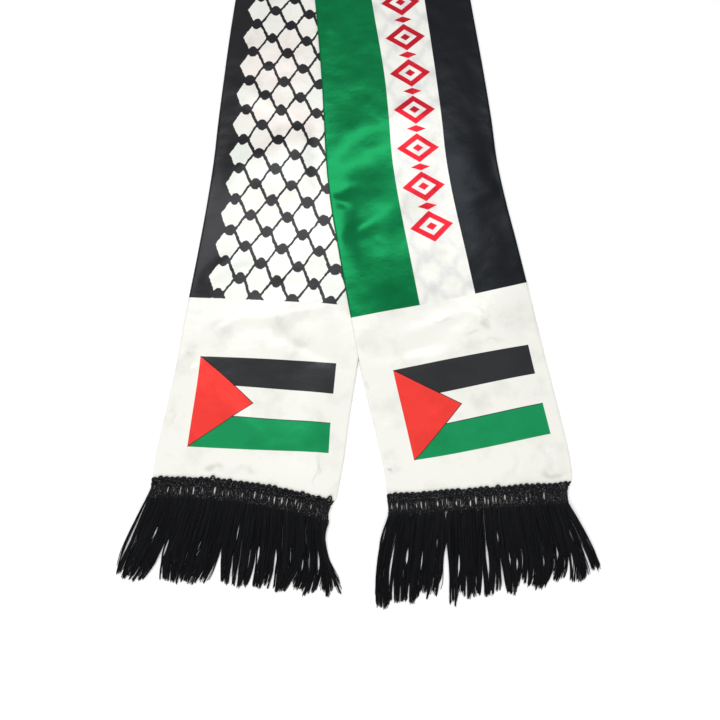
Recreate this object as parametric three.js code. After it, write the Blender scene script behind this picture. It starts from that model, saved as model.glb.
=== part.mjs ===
import * as THREE from 'three';

// A satin supporter's scarf: two printed faces sewn together along their long edges, with a crocheted
// heading and a cut fringe across each end. It is folded over once and laid flat, so a left stretch lies on
// the surface and a right stretch comes back over it, the two opening out in a narrow V.
// Millimetres, +Z up. While the pieces are worked out, the fold's crest is the line y = 0 and both
// stretches run towards -Y; "below" is the distance from that crest. At the end all of it is centred.

// Cloth
const WALL = 1.0; // one satin face
const SEAM_GAP = 0.3; // between two faces, and between a trim and its cloth
const STRETCH_LENGTH = 688; // fold crest to cut end, on the centre line
const FOLD_RADIUS = 5.2; // middle of the cloth, round the soft fold
const FOLD_SETTLE = 85; // length over which the upper stretch comes down from the fold
const LAYER = 2 * WALL + 2 * SEAM_GAP; // what one stretch adds under another
const MIDDLE = WALL + SEAM_GAP / 2; // middle of a stretch above what it lies on

// Faceting
const COLUMNS = 14; // cells across a stretch
const FLAT_ROWS = 26; // cells along the flat part of a stretch
const ARC_ROWS = 4; // cells round a quarter of the fold

// Outlines. below: from the fold's crest; centre: x of the centre line; half: half the width along X.
const LEFT_OUTLINE = [
  { below: 0, centre: -5.5, half: 70.8 },
  { below: 60, centre: -16.2, half: 70.8 },
  { below: 120, centre: -25.4, half: 70.6 },
  { below: 180, centre: -33.2, half: 70.4 },
  { below: 243, centre: -39.8, half: 70.3 },
  { below: 285, centre: -43.5, half: 70.3 },
  { below: 325, centre: -46.3, half: 70.3 },
  { below: 364, centre: -48.9, half: 70.3 },
  { below: 402, centre: -51.0, half: 70.2 },
  { below: 439, centre: -54.2, half: 70.3 },
  { below: 474, centre: -58.1, half: 70.3 },
  { below: 509, centre: -62.6, half: 70.2 },
  { below: 544, centre: -67.4, half: 70.1 },
  { below: 582, centre: -72.0, half: 69.6 },
  { below: 625, centre: -78.6, half: 69.8 },
  { below: 652, centre: -82.2, half: 70.1 },
  { below: 692, centre: -86.6, half: 67.2 },
];
const RIGHT_OUTLINE = [
  { below: 0, centre: -5.5, half: 70.8 },
  { below: 60, centre: 4.8, half: 70.6 },
  { below: 120, centre: 13.6, half: 70.0 },
  { below: 180, centre: 21.6, half: 69.2 },
  { below: 243, centre: 28.7, half: 68.5 },
  { below: 285, centre: 32.9, half: 68.9 },
  { below: 325, centre: 36.7, half: 69.5 },
  { below: 364, centre: 39.8, half: 70.2 },
  { below: 402, centre: 42.4, half: 70.6 },
  { below: 439, centre: 47.0, half: 71.3 },
  { below: 474, centre: 53.0, half: 71.8 },
  { below: 509, centre: 59.2, half: 72.0 },
  { below: 544, centre: 65.4, half: 71.9 },
  { below: 575, centre: 71.0, half: 71.8 },
  { below: 600, centre: 76.0, half: 71.5 },
  { below: 642, centre: 84.4, half: 70.5 },
  { below: 660, centre: 87.2, half: 69.4 },
  { below: 692, centre: 88.6, half: 67.4 },
];

// The end seams are neither square nor straight: how much lower than its nominal length a stretch ends at
// its left edge, in its middle and at its right edge.
const LEFT_END_EDGE = { left: -8.0, middle: -4.4, right: 10.0 };
const RIGHT_END_EDGE = { left: 4.6, middle: 0, right: -4.6 };
const EDGE_START = 520; // below the fold, where that begins to grow

// Where the upper stretch steps down off the lower one
const STEP_CLEAR = 12; // it stays level this far past the lower stretch's edge
const STEP_LENGTH = 26;
const NOTCH_BELOW = 584; // from here down the two stretches lie side by side
const NOTCH_FADE = 60;
const COVER_CLEAR = 14; // the lower one's folds die out this far before it goes under the upper one
const COVER_FADE = 24;

// Soft folds of the uppermost faces. below, across: the middle of the fold (across: -1 left edge, 1 right
// edge); reach: half length; breadth: half width; turn: degrees from lying across the scarf; rise: height.
const PUFF = 1.0; // air held between the two faces
const PUFF_EDGE = 0.3; // share of the half width over which the faces part from their seam
const LEVEL_BELOW = 668; // from here to the cut end, under the heading, the faces lie flat together
const LEVEL_FADE = 28; // length over which the air and the folds die out above there
const LEFT_FOLDS = [
  { below: 300, across: -0.3, reach: 60, breadth: 24, turn: 8, rise: 0.9 },
  { below: 408, across: -0.25, reach: 70, breadth: 26, turn: -6, rise: 2.0 },
  { below: 455, across: -0.4, reach: 50, breadth: 22, turn: 12, rise: -0.7 },
  { below: 560, across: 0.1, reach: 46, breadth: 20, turn: 20, rise: 1.0 },
  { below: 640, across: 0.55, reach: 34, breadth: 14, turn: 78, rise: 1.3 },
  { below: 655, across: -0.2, reach: 30, breadth: 16, turn: -35, rise: -0.8 },
];
const RIGHT_FOLDS = [
  { below: 130, across: 0.3, reach: 60, breadth: 30, turn: 10, rise: 1.0 },
  { below: 290, across: 0.2, reach: 60, breadth: 26, turn: -10, rise: 0.9 },
  { below: 369, across: -0.6, reach: 52, breadth: 26, turn: 3, rise: 3.0 },
  { below: 413, across: -0.62, reach: 36, breadth: 15, turn: 40, rise: -0.9 },
  { below: 445, across: -0.5, reach: 44, breadth: 15, turn: 8, rise: 1.8 },
  { below: 484, across: -0.4, reach: 44, breadth: 15, turn: -8, rise: -0.8 },
  { below: 400, across: 0.7, reach: 26, breadth: 20, turn: -20, rise: 1.4 },
  { below: 556, across: 0.25, reach: 42, breadth: 18, turn: 28, rise: 1.2 },
  { below: 660, across: 0.65, reach: 34, breadth: 16, turn: 40, rise: 1.3 },
  { below: 668, across: -0.85, reach: 24, breadth: 13, turn: 70, rise: -0.8 },
];

// Trims
const HEADING_DEPTH = 15; // along the scarf
const HEADING_OVERHANG = 1; // past the cloth's cut end
const HEADING_EDGE = 1.3; // thickness at its two long edges
const HEADING_MIDDLE = 2.0; // thickness along its middle
const HEADING_ROWS = 4;
const FRINGE_ROWS = 5;
const FRINGE_ROOT_HEIGHT = 3.9;
const FRINGE_TIP_HEIGHT = 1.8;
// Tips of each fringe. across: -1 left end, 1 right end; lean: sideways from its root; reach: root to tip.
const LEFT_TIPS = [
  { across: -1, lean: -20, reach: 53 },
  { across: -0.8, lean: -16, reach: 58 },
  { across: -0.62, lean: -12, reach: 52 },
  { across: -0.35, lean: -10, reach: 58 },
  { across: -0.14, lean: -7, reach: 52 },
  { across: 0.2, lean: -2, reach: 58.5 },
  { across: 0.6, lean: 4, reach: 57 },
  { across: 0.85, lean: 8, reach: 54 },
  { across: 1, lean: 9, reach: 48 },
];
const RIGHT_TIPS = [
  { across: -1, lean: -10, reach: 62 },
  { across: -0.68, lean: -6, reach: 62.5 },
  { across: -0.48, lean: -4, reach: 61 },
  { across: -0.36, lean: -1, reach: 44 },
  { across: -0.2, lean: 0, reach: 63 },
  { across: 0.2, lean: 5, reach: 62 },
  { across: 0.51, lean: 9, reach: 58 },
  { across: 0.78, lean: 13, reach: 53 },
  { across: 1, lean: 15, reach: 47 },
];

// Colours and finish
const NET_FACE_COLOUR = 0x8f8f8c;
const STRIPE_FACE_COLOUR = 0x1f8a50;
const TRIM_COLOUR = 0x14161d;
const SATIN_ROUGHNESS = 0.38;
const YARN_ROUGHNESS = 0.85;

function smooth(share) {
  const s = Math.min(Math.max(share, 0), 1);
  return s * s * (3 - 2 * s);
}

// A table's column at a place between its rows, by a curve through the rows.
function read(table, place, key, column) {
  const last = table.length - 1;
  let i = 0;
  while (i < last - 1 && table[i + 1][key] <= place) {
    i += 1;
  }
  const a = table[i];
  const b = table[i + 1];
  const span = b[key] - a[key];
  const before = table[Math.max(i - 1, 0)];
  const after = table[Math.min(i + 2, last)];
  const slopeA = (b[column] - before[column]) / (b[key] - before[key]);
  const slopeB = (after[column] - a[column]) / (after[key] - a[key]);
  const t = Math.min(Math.max((place - a[key]) / span, 0), 1);
  const rise = b[column] - a[column];
  const bendA = slopeA * span - rise;
  const bendB = rise - slopeB * span;
  return a[column] + t * rise + t * (1 - t) * ((1 - t) * bendA + t * bendB);
}

function outlineX(outline, below, across) {
  return read(outline, below, 'below', 'centre') + across * read(outline, below, 'below', 'half');
}

// Height of the uppermost face above the one it is sewn to: a little air and the soft folds.
function faceRise(stretch, below, across) {
  const x = outlineX(stretch.outline, below, across);
  let rise = PUFF;
  for (const fold of stretch.folds) {
    const dx = x - outlineX(stretch.outline, fold.below, fold.across);
    const dy = fold.below - below;
    const turn = THREE.MathUtils.degToRad(fold.turn);
    const along = dx * Math.cos(turn) + dy * Math.sin(turn);
    const over = dy * Math.cos(turn) - dx * Math.sin(turn);
    rise += fold.rise * Math.exp(-((along / fold.reach) ** 2) - (over / fold.breadth) ** 2);
  }
  rise = Math.max(rise, 0);
  const fromSeam = smooth((1 - Math.abs(across)) / PUFF_EDGE);
  const fromFold = smooth(below / FOLD_SETTLE);
  const fromEnd = smooth((LEVEL_BELOW - below) / LEVEL_FADE);
  return rise * fromSeam * fromFold * fromEnd * stretch.uncovered(below, x);
}

// Height of what a stretch lies on: the surface, or for the right stretch also the left one.
function coverHeight(below, x) {
  const edge = outlineX(LEFT_OUTLINE, below, 1);
  const over = 1 - smooth((x - edge - STEP_CLEAR) / STEP_LENGTH);
  const beside = 1 - smooth((below - NOTCH_BELOW) / NOTCH_FADE);
  const fromFold = 2 * FOLD_RADIUS * (1 - smooth((below - FOLD_RADIUS) / FOLD_SETTLE));
  return Math.max(LAYER * over * beside, fromFold);
}

const LEFT = {
  outline: LEFT_OUTLINE,
  endEdge: LEFT_END_EDGE,
  folds: LEFT_FOLDS,
  upward: -1,
  base: () => 0,
  uncovered: (below, x) => smooth((outlineX(RIGHT_OUTLINE, below, -1) - COVER_CLEAR - x) / COVER_FADE),
};
const RIGHT = {
  outline: RIGHT_OUTLINE,
  endEdge: RIGHT_END_EDGE,
  folds: RIGHT_FOLDS,
  upward: 1,
  base: coverHeight,
  uncovered: () => 1,
};

// How much farther down a point lies, because its stretch's end is not square.
function endShift(stretch, below, across) {
  const { left, middle, right } = stretch.endEdge;
  const bow = (right + left) / 2 - middle;
  const shift = middle + ((right - left) / 2) * across + bow * across ** 2;
  return shift * smooth((below - EDGE_START) / (STRETCH_LENGTH - EDGE_START));
}

// A point of a stretch on its flat part. level: height above what the stretch lies on.
function flatPoint(stretch, below, across, level) {
  const place = below + endShift(stretch, below, across);
  const x = outlineX(stretch.outline, place, across);
  return new THREE.Vector3(x, -place, stretch.base(place, x) + level);
}

// A point round the fold. out: distance from the middle of the cloth, away from the fold's hollow.
function foldPoint(stretch, turn, across, out) {
  const radius = FOLD_RADIUS + out;
  const y = radius * Math.cos(turn) - FOLD_RADIUS;
  const z = MIDDLE + FOLD_RADIUS + stretch.upward * radius * Math.sin(turn);
  return new THREE.Vector3(outlineX(stretch.outline, -y, across), y, z);
}

// One face of one stretch, as the two skins of its wall. outer: the face is on the fold's outside.
function faceSkins(stretch, outer) {
  const uppermost = outer === (stretch.upward > 0);
  const skins = { low: [], high: [] };
  const crest = Math.asin(SEAM_GAP / 2 / FOLD_RADIUS);
  const near = outer ? SEAM_GAP / 2 : -SEAM_GAP / 2 - WALL;
  for (let i = 0; i < ARC_ROWS; i += 1) {
    const turn = crest + (i / ARC_ROWS) * (Math.PI / 2 - crest);
    const row = (out) => acrossRow((across) => foldPoint(stretch, turn, across, out));
    const inner = row(near);
    const outerRow = row(near + WALL);
    skins.low.push(stretch.upward > 0 ? inner : outerRow);
    skins.high.push(stretch.upward > 0 ? outerRow : inner);
  }
  for (let i = 0; i <= FLAT_ROWS; i += 1) {
    const last = i === FLAT_ROWS;
    const below = last ? STRETCH_LENGTH : FOLD_RADIUS + (i / (FLAT_ROWS - 1)) * (LEVEL_BELOW - FOLD_RADIUS);
    const level = (across) => (uppermost ? WALL + SEAM_GAP + faceRise(stretch, below, across) : 0);
    skins.low.push(acrossRow((across) => flatPoint(stretch, below, across, level(across))));
    skins.high.push(acrossRow((across) => flatPoint(stretch, below, across, level(across) + WALL)));
  }
  return skins;
}

function acrossRow(point) {
  const row = [];
  for (let j = 0; j <= COLUMNS; j += 1) {
    row.push(point((2 * j) / COLUMNS - 1));
  }
  return row;
}

// The heading lies on the end of a stretch, from the stretch's own points moved out.
function headingSkins(stretch) {
  const skins = { low: [], high: [] };
  const top = STRETCH_LENGTH - HEADING_DEPTH;
  const clothTop = 2 * WALL + SEAM_GAP;
  for (let i = 0; i <= HEADING_ROWS; i += 1) {
    const share = i / HEADING_ROWS;
    const below = top + share * (HEADING_DEPTH + HEADING_OVERHANG);
    const thick = HEADING_EDGE + (HEADING_MIDDLE - HEADING_EDGE) * Math.sin(share * Math.PI);
    const level = clothTop + SEAM_GAP;
    skins.low.push(acrossRow((across) => flatPoint(stretch, below, across, level)));
    skins.high.push(acrossRow((across) => flatPoint(stretch, below, across, level + thick)));
  }
  return skins;
}

// The fringe hangs from the heading's lower edge down to the surface and out to its uneven tips.
function fringeSkins(stretch, tips) {
  const skins = { low: [], high: [] };
  const rootBelow = STRETCH_LENGTH + HEADING_OVERHANG + SEAM_GAP;
  for (let i = 0; i <= FRINGE_ROWS; i += 1) {
    const share = i / FRINGE_ROWS;
    const height = FRINGE_ROOT_HEIGHT + (FRINGE_TIP_HEIGHT - FRINGE_ROOT_HEIGHT) * share;
    const point = (across, z) => {
      const root = flatPoint(stretch, rootBelow, across, z);
      root.x += share * read(tips, across, 'across', 'lean');
      root.y -= share * read(tips, across, 'across', 'reach');
      return root;
    };
    skins.low.push(acrossRow((across) => point(across, 0)));
    skins.high.push(acrossRow((across) => point(across, height)));
  }
  return skins;
}

// A closed body from a lower and an upper grid of points, joined round the four edges.
function solid(name, skins, colour, roughness) {
  const rows = skins.low.length;
  const columns = skins.low[0].length;
  const points = [...skins.low.flat(), ...skins.high.flat()];
  const at = (high, i, j) => (high ? rows * columns : 0) + i * columns + j;
  const faces = [];
  const quad = (a, b, c, d) => faces.push(a, b, c, a, c, d);
  for (let i = 0; i < rows - 1; i += 1) {
    for (let j = 0; j < columns - 1; j += 1) {
      quad(at(true, i, j), at(true, i + 1, j), at(true, i + 1, j + 1), at(true, i, j + 1));
      quad(at(false, i, j), at(false, i, j + 1), at(false, i + 1, j + 1), at(false, i + 1, j));
    }
    const end = columns - 1;
    quad(at(true, i, 0), at(false, i, 0), at(false, i + 1, 0), at(true, i + 1, 0));
    quad(at(true, i, end), at(true, i + 1, end), at(false, i + 1, end), at(false, i, end));
  }
  for (let j = 0; j < columns - 1; j += 1) {
    const end = rows - 1;
    quad(at(true, 0, j), at(true, 0, j + 1), at(false, 0, j + 1), at(false, 0, j));
    quad(at(true, end, j), at(false, end, j), at(false, end, j + 1), at(true, end, j + 1));
  }
  const geometry = new THREE.BufferGeometry().setFromPoints(points);
  geometry.setIndex(faces);
  geometry.computeVertexNormals();
  const material = new THREE.MeshStandardMaterial({ color: colour, roughness, metalness: 0 });
  const mesh = new THREE.Mesh(geometry, material);
  mesh.name = name;
  return mesh;
}

const scarf = new THREE.Group();
scarf.name = 'flag_scarf';
scarf.add(
  solid('left_stretch_stripe_face', faceSkins(LEFT, true), STRIPE_FACE_COLOUR, SATIN_ROUGHNESS),
  solid('left_stretch_net_face', faceSkins(LEFT, false), NET_FACE_COLOUR, SATIN_ROUGHNESS),
  solid('right_stretch_net_face', faceSkins(RIGHT, false), NET_FACE_COLOUR, SATIN_ROUGHNESS),
  solid('right_stretch_stripe_face', faceSkins(RIGHT, true), STRIPE_FACE_COLOUR, SATIN_ROUGHNESS),
  solid('left_heading', headingSkins(LEFT), TRIM_COLOUR, YARN_ROUGHNESS),
  solid('right_heading', headingSkins(RIGHT), TRIM_COLOUR, YARN_ROUGHNESS),
  solid('left_fringe', fringeSkins(LEFT, LEFT_TIPS), TRIM_COLOUR, YARN_ROUGHNESS),
  solid('right_fringe', fringeSkins(RIGHT, RIGHT_TIPS), TRIM_COLOUR, YARN_ROUGHNESS),
);

// Centre the scarf in X and Y with its underside at z = 0.
const box = new THREE.Box3().setFromObject(scarf);
const middle = box.getCenter(new THREE.Vector3());
for (const piece of scarf.children) {
  piece.geometry.translate(-middle.x, -middle.y, -box.min.z);
}

export default scarf;
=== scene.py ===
import math

import bpy
import numpy as np
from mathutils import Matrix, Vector, noise


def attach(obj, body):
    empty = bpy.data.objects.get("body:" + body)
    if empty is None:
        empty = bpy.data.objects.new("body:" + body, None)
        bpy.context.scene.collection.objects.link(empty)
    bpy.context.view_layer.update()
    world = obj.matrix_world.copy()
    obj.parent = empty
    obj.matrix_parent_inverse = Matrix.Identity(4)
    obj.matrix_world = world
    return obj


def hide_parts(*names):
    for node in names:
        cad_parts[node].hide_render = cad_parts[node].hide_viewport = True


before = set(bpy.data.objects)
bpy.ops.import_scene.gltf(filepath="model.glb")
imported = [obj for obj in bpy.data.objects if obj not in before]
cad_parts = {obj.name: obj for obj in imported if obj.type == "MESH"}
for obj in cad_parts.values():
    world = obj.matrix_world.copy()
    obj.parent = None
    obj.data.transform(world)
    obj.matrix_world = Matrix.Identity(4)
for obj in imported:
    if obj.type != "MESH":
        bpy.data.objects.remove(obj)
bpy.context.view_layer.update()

scene = bpy.context.scene

# ---------------------------------------------------------------------------------------------------
# Surface, light and camera. The scarf lies flat on a plain white table top. A big soft light hangs over
# it, a little beyond its middle, a second one stands low in front, and the room is evenly bright.
TABLE_SIZE = 6.0
TABLE_LEVEL = -0.0003
TABLE_WHITE = "fdfdfd"
ROOM_WHITE = "fbfcff"
ROOM_STRENGTH = 0.6
CAMERA_TILT = 17.0  # degrees from straight down
CAMERA_PLACE = (0.00116, -0.38813, 0.6261)
CAMERA_LENS = 42.5
CAMERA_SENSOR = 36.0
CAMERA_NEAREST = 0.01
LIGHTS = [  # name, place, aimed at, width, length, watts, colour
    ("overhead_light", (-0.12, 0.74, 1.6), (0.0, -0.05, 0.0), 1.2, 0.4, 8.6, "ffffff"),
    ("front_light", (-0.25, -1.1, 0.95), (0.0, -0.3, 0.0), 1.2, 1.2, 11.0, "fffdf8"),
]


def srgb(code):
    """An sRGB hex colour as linear red, green, blue and alpha, by the standard's formula."""
    parts = [int(code[i : i + 2], 16) / 255 for i in (0, 2, 4)]
    return tuple(c / 12.92 if c <= 0.04045 else ((c + 0.055) / 1.055) ** 2.4 for c in parts) + (1.0,)


def add(tree, kind, inputs=None, out=0, **settings):
    """Adds a node with its settings, sets or links its inputs, and gives back one of its outputs."""
    node = tree.nodes.new(kind)
    for key, value in settings.items():
        setattr(node, key, value)
    for key, value in (inputs or {}).items():
        if isinstance(value, bpy.types.NodeSocket):
            tree.links.new(value, node.inputs[key])
        else:
            node.inputs[key].default_value = value
    return node.outputs[out] if len(node.outputs) else node


def new_material(name):
    """An empty node material and its tree."""
    made = bpy.data.materials.new(name)
    made.use_nodes = True
    made.node_tree.nodes.clear()
    return made, made.node_tree


bpy.ops.object.select_all(action="DESELECT")
bpy.ops.mesh.primitive_plane_add(size=TABLE_SIZE, location=(0.0, 0.0, TABLE_LEVEL))
table_top = bpy.context.object
table_top.name = "table_top"
# Table top: smooth matt laminate, plain white.
laminate, tree = new_material("matt_white_laminate")
shader = add(tree, "ShaderNodeBsdfPrincipled", {"Base Color": srgb(TABLE_WHITE), "Roughness": 0.9})
add(tree, "ShaderNodeOutputMaterial", {"Surface": shader})
table_top.data.materials.append(laminate)

room = bpy.data.worlds.new("bright_room")
room.use_nodes = True
room.node_tree.nodes.clear()
sky = add(room.node_tree, "ShaderNodeBackground", {"Color": srgb(ROOM_WHITE), "Strength": ROOM_STRENGTH})
add(room.node_tree, "ShaderNodeOutputWorld", {"Surface": sky})
scene.world = room

for name, place, aim, width, length, watts, colour in LIGHTS:
    bpy.ops.object.light_add(type="AREA", location=place)
    lamp = bpy.context.object
    lamp.name = name
    lamp.data.shape = "RECTANGLE"
    lamp.data.size = width
    lamp.data.size_y = length
    lamp.data.energy = watts
    lamp.data.color = srgb(colour)[:3]
    lamp.rotation_euler = (Vector(aim) - Vector(place)).to_track_quat("-Z", "Y").to_euler()

bpy.ops.object.camera_add(location=CAMERA_PLACE, rotation=(math.radians(CAMERA_TILT), 0.0, 0.0))
camera = bpy.context.object
camera.data.lens = CAMERA_LENS
camera.data.sensor_width = CAMERA_SENSOR
camera.data.clip_start = CAMERA_NEAREST
scene.camera = camera
scene.view_settings.view_transform = "Standard"
scene.view_settings.look = "None"

# ---------------------------------------------------------------------------------------------------
# The scarf's cloth. Two strips of thin polyester satin, each printed on its own side, sewn together
# along both long edges and turned out. The tube is folded over once: the left stretch lies
# underneath with its net side up, the right one comes back over it with its striped side up.
# Sizes in millimetres. "below" is the distance from the fold's crest, "across" runs from -1 at a
# stretch's left edge to 1 at its right one.
MM = 0.001
CREST_Y = 377.37
CENTRE_X = 1.156
HALF_WIDTH = 70.0
STRETCH_LENGTH = 688.0
FOLD_RADIUS = 5.2
FOLD_SETTLE = 85.0
UNDERSIDE = 0.06  # the lower skin's height above the table
TUBE_DEPTH = 1.5  # lower skin to upper skin at the seams
LAYER = TUBE_DEPTH + 0.15
SATIN_THICK = 0.25
SEAM_ROLL = 1.5  # width over which a skin rolls down to the seam
HEADING_DEPTH = 15.0

LEFT_OUTLINE = [  # below, centre, half width along X
    (0, -5.5, 70.8), (60, -16.2, 70.8), (120, -25.4, 70.6), (180, -33.2, 70.4), (243, -39.8, 70.3),
    (285, -43.5, 70.3), (325, -46.3, 70.3), (364, -48.9, 70.3), (402, -51.0, 70.2), (439, -54.2, 70.3),
    (474, -58.1, 70.3), (509, -62.6, 70.2), (544, -67.4, 70.1), (582, -72.0, 69.6), (625, -78.6, 69.8),
    (652, -82.2, 70.1), (692, -86.6, 67.2),
]
RIGHT_OUTLINE = [  # below, centre, half width along X
    (0, -5.5, 70.8), (60, 5.0, 70.8), (120, 13.9, 70.3), (180, 21.9, 69.5), (243, 29.0, 68.8),
    (285, 33.3, 69.3), (325, 37.1, 69.9), (364, 40.2, 70.6), (402, 42.7, 70.9), (439, 47.4, 71.7),
    (474, 53.4, 72.2), (509, 59.5, 72.3), (544, 65.6, 72.1), (575, 71.1, 71.9), (600, 76.0, 71.5),
    (642, 84.4, 70.5), (660, 87.2, 69.4), (692, 88.6, 67.4),
]
# How far below their nominal place the cut ends lie, at the left corner, the middle and the right corner
END_EDGE = {"left": (-8.0, -4.4, 10.0), "right": (4.6, 0.0, -4.6)}
SKEW_START = 520.0
STEP_CLEAR = 3.0  # the upper stretch leaves the lower one's edge this far past it
STEP_LENGTH = 48.0  # and comes down to the table over this length
NOTCH_BELOW = 575.0  # from here the two stretches begin to lie side by side
NOTCH_FADE = 50.0
PUFF = 1.5  # height of the air between the skins
PUFF_EDGE = 0.5  # share of the half width over which it fades at the seams
CREASE_EDGE = 9.8  # a crease dies away over at least this far from the seam
LEVEL_BELOW = 671.0  # the cloth is level from here to its cut end
LEVEL_FADE = 28.0
CORNER_IN = {"left": 3.2, "right": 4.1}  # how far the heading draws in the right corner
DRAWN_ABOVE, DRAWN_OVER = 3.0, 8.0  # from how far above the heading, and over what length
DRAWN_FROM, DRAWN_WIDTH = 0.84, 0.14  # and over what part of the half width
WAVES = [(0.34, 34.0, 0), (0.2, 13.0, 3), (0.07, 5.0, 6)]  # height, size, step of the seed
WAVE_SEED = {"left": 1.7, "right": 8.3}
WAVE_EDGE = 0.05
TUCK_HEIGHT, TUCK_SIZE, TUCK_SEED = 0.28, 5.5, 9  # small tucks that the seam's thread pulls in
TUCK_LENGTH = 0.35  # their waves across the scarf, as a share of those along it
TUCK_REACH = 7.0
PRESSED_CLEAR, PRESSED_FADE = 3.0, 22.0  # the lower stretch is pressed flat under the upper one
DIP_LEAST, DIP_SOFT = -0.25, 0.2  # no skin dips lower than this, softly
DENT, DENT_SIZE, DENT_SEED, DENT_EDGE = 0.18, 30.0, 4.4, 0.2  # on the skins underneath
# Soft folds and creases: middle as below and across, half length, half width, degrees turned from
# lying across the scarf, and height, which is negative for a trough.
LEFT_CREASES = [
    (300, -0.3, 60, 24, 8, 0.9), (408, -0.25, 70, 26, -6, 2.0), (455, -0.4, 50, 22, 12, -0.7),
    (560, 0.1, 46, 20, 20, 1.0), (640, 0.55, 34, 14, 78, 1.3), (655, -0.2, 30, 16, -35, -0.8),
    (548, -0.55, 26, 7, 35, 1.1), (566, 0.45, 30, 6, -25, -0.9), (657, 0.73, 20, 2.6, 86, 1.2),
    (616, -0.88, 12, 4, 62, -0.9), (662, -0.35, 22, 6, 20, 1.2), (588, -0.85, 14, 5, 50, 0.9),
    (536, 0.2, 34, 6, 12, 1.0), (628, -0.1, 22, 7, -50, 0.7), (380, 0.1, 40, 9, 24, 0.9),
    (340, -0.6, 30, 8, -30, 0.8), (500, -0.7, 26, 8, 40, 0.9), (668, 0.15, 20, 4, 60, 0.9),
]
RIGHT_CREASES = [
    (130, 0.3, 60, 30, 10, 1.0), (360, -0.5, 60, 40, 8, 1.2), (378, -0.6, 55, 18, 16, 1.0),
    (402, -0.55, 50, 14, 40, -1.2), (453, -0.55, 50, 24, 30, 3.2), (494, -0.6, 50, 28, 5, 2.3),
    (400, 0.7, 26, 20, -20, 1.0), (556, 0.25, 42, 18, 28, 0.8), (272, -0.92, 12, 10, 10, 0.8),
    (660, 0.65, 34, 16, 40, 1.3), (668, -0.85, 24, 13, 70, -0.8), (544, -0.06, 26, 4, 22, 0.5),
    (545, 0.5, 22, 5, -35, 0.8), (566, -0.4, 22, 6, 15, -0.8), (655, 0.8, 20, 5, 55, 1.4),
    (640, 0.9, 16, 5, 20, -1.0), (656, -0.93, 12, 3, 75, 1.3), (626, -0.96, 10, 3.5, 10, 1.1),
    (597, -0.98, 9, 3, -8, 1.2), (440, -0.93, 10, 4, -25, 1.2), (431, -0.9, 12, 4, 15, -0.9),
    (468, -0.75, 18, 6, 35, 0.9), (430, 0.85, 26, 8, 25, 0.9),
]
OUTLINES = {"left": LEFT_OUTLINE, "right": RIGHT_OUTLINE}
CREASES = {"left": LEFT_CREASES, "right": RIGHT_CREASES}


def smooth(share):
    """Eases from 0 to 1."""
    s = np.clip(share, 0.0, 1.0)
    return s * s * (3 - 2 * s)


def read(table, place, column):
    """A table's column at places between its rows, by a curve through the rows."""
    rows = np.array(table, float)
    keys, values = rows[:, 0], rows[:, column]
    last = len(keys) - 1
    i = np.clip(np.searchsorted(keys, place, side="right") - 1, 0, last - 1)
    before, after = np.maximum(i - 1, 0), np.minimum(i + 2, last)
    span = keys[i + 1] - keys[i]
    slope_a = (values[i + 1] - values[before]) / (keys[i + 1] - keys[before])
    slope_b = (values[after] - values[i]) / (keys[after] - keys[i])
    t = np.clip((place - keys[i]) / span, 0.0, 1.0)
    rise = values[i + 1] - values[i]
    bend = (1 - t) * (slope_a * span - rise) + t * (rise - slope_b * span)
    return values[i] + t * rise + t * (1 - t) * bend


def outline_x(outline, below, across):
    """X of a point of a stretch, before the scarf is centred."""
    return read(outline, below, 1) + across * read(outline, below, 2)


def cover(side, below, x):
    """Height of what a stretch lies on: the table, or for the right one also the left stretch."""
    if side == "left":
        return np.zeros_like(x)
    edge = outline_x(LEFT_OUTLINE, below, 1.0)
    over = 1 - smooth((x - edge - STEP_CLEAR) / STEP_LENGTH)
    beside = 1 - smooth((below - NOTCH_BELOW) / NOTCH_FADE)
    from_fold = 2 * FOLD_RADIUS * (1 - smooth((below - FOLD_RADIUS) / FOLD_SETTLE))
    return np.maximum(LAYER * over * beside, from_fold)


def crease_rise(side, below, x, from_edge):
    """The summed height of the soft folds and creases, which die away towards the seams."""
    rise = np.zeros_like(x)
    for middle, across, reach, breadth, turn, height in CREASES[side]:
        dx = x - outline_x(OUTLINES[side], np.array(float(middle)), across)
        dy = middle - below
        along = dx * math.cos(math.radians(turn)) + dy * math.sin(math.radians(turn))
        over = dy * math.cos(math.radians(turn)) - dx * math.sin(math.radians(turn))
        fading = smooth(from_edge / max(breadth, CREASE_EDGE))
        rise += height * fading * np.exp(-((along / reach) ** 2) - (over / breadth) ** 2)
    return rise


def ripple(x, y, size, seed):
    """Smooth uneven waves of about the given size, between -1 and 1."""
    return np.array([noise.noise((a / size, b / size, seed)) for a, b in zip(x, y)])


def face_rise(side, below, across, x, place):
    """Height of the uppermost skin above the seams: air between the skins, creases and ripples."""
    from_edge = (1 - np.abs(across)) * HALF_WIDTH
    from_seam = smooth((1 - np.abs(across)) / PUFF_EDGE)
    near_seam = smooth((1 - np.abs(across)) / WAVE_EDGE)
    from_fold = smooth(below / FOLD_SETTLE)
    from_end = smooth((LEVEL_BELOW - below) / LEVEL_FADE)
    seed = WAVE_SEED[side]
    waves = sum(height * ripple(x, place, size, seed + step) for height, size, step in WAVES)
    tucks = TUCK_HEIGHT * ripple(x * TUCK_LENGTH, place, TUCK_SIZE, seed + TUCK_SEED)
    tucks = tucks * np.exp(-from_edge / TUCK_REACH)
    rise = PUFF * from_seam + crease_rise(side, below, x, from_edge) + (waves + tucks) * near_seam
    rise = rise * from_end * from_fold
    if side == "left":
        rise *= smooth((outline_x(RIGHT_OUTLINE, below, -1.0) - PRESSED_CLEAR - x) / PRESSED_FADE)
    return DIP_SOFT * np.logaddexp(rise / DIP_SOFT, DIP_LEAST / DIP_SOFT)


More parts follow.
